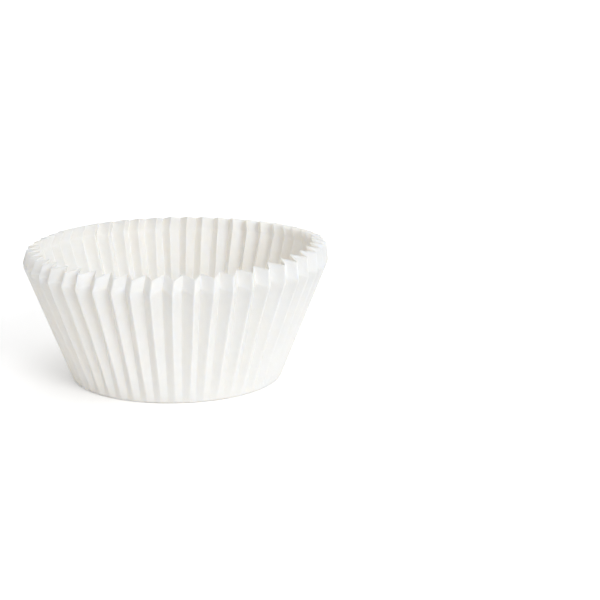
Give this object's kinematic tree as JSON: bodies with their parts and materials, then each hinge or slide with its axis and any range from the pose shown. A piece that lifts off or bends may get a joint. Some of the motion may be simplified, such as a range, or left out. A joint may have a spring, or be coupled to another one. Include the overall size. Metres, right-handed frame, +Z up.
{
  "type": "cupcake liner",
  "caption": "Fluted paper baking cup with a flat round foot, a pleated wall that opens outwards and a short lip folded inwards at the rim.",
  "frame": {"origin": "middle of the flat foot, on its underside", "axes": "+Z up along the cup's axis, towards the mouth; -Y is the front, where a flute's valley lies on the axis line"},
  "size_m": [0.072, 0.072, 0.0319],
  "materials": {
    "paper": "matt white greaseproof paper"
  },
  "bodies": {
    "root": {"fluted_paper_cup": "paper"}
  },
  "joints": []
}
